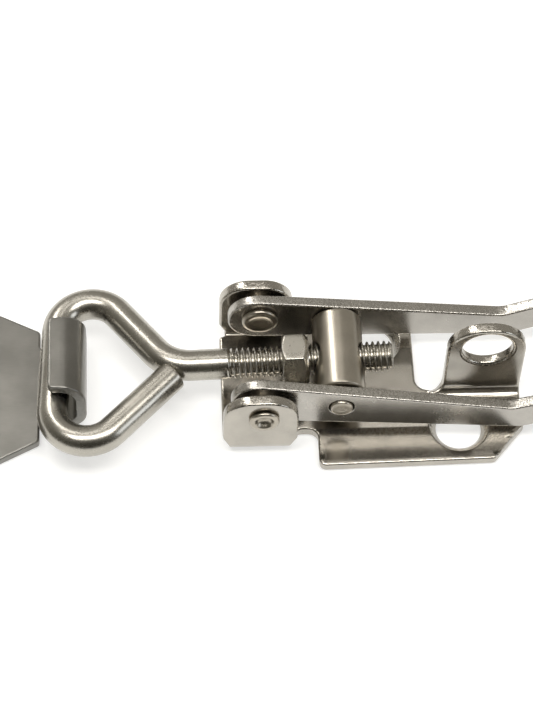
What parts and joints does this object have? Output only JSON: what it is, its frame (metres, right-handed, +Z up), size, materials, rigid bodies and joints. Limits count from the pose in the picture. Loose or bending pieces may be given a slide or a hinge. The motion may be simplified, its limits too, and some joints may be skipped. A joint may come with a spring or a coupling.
{
  "type": "toggle bolt latch",
  "caption": "Adjustable over-centre toggle latch with a hook bolt, lock nut, padlock eye and separate keeper plate.",
  "frame": {"origin": "underside of the base plate, directly below the lever's pivot, on the bolt's mid-plane", "axes": "+X along the bolt from the hook towards the lever's grip, +Z up from the mounting surface, +Y towards the side without the cut-off wing"},
  "size_m": [0.203, 0.0485, 0.0289],
  "materials": {
    "plate_steel": "bright nickel plate on pressed steel",
    "lever_steel": "bright nickel plate on pressed steel",
    "pin_steel": "bright nickel plate, tumbled",
    "rod_steel": "bright nickel plate on drawn rod",
    "keeper_steel": "satin nickel plate on pressed steel"
  },
  "bodies": {
    "base": {"base_plate": "plate_steel", "pivot_rivet_near": "pin_steel", "pivot_rivet_far": "pin_steel"},
    "lever": {"lever": "lever_steel"},
    "barrel": {"trunnion_barrel": "pin_steel"},
    "bolt": {"hook_bolt": "rod_steel"},
    "nut": {"lock_nut": "rod_steel"},
    "keeper": {"keeper_plate": "keeper_steel"}
  },
  "joints": [
    {"name": "lever_pivot", "type": "hinge", "parent": "base", "child": "lever", "pos_m": [0, 0, 0.0158], "axis": [0, -1, 0], "range_deg": [0, 150]},
    {"name": "barrel_swing", "type": "hinge", "parent": "lever", "child": "barrel", "pos_m": [0.01935, 0, 0.0138], "axis": [0, -1, 0], "range_deg": [-150, 0]},
    {"name": "bolt_adjust", "type": "slide", "parent": "barrel", "child": "bolt", "axis": [0.9988, 0, 0.0489], "range_m": [-0.007, 0.008]},
    {"name": "nut_travel", "type": "slide", "parent": "barrel", "child": "nut", "axis": [0.9988, 0, 0.0489], "range_m": [-0.006, 0.0009]},
    {"name": "keeper_release", "type": "slide", "parent": "bolt", "child": "keeper", "axis": [1, 0, 0], "range_m": [0, 0.0063]}
  ],
  "couplings": [
    {"joint": "barrel_swing", "follows": "lever_pivot", "ratio": -1}
  ]
}
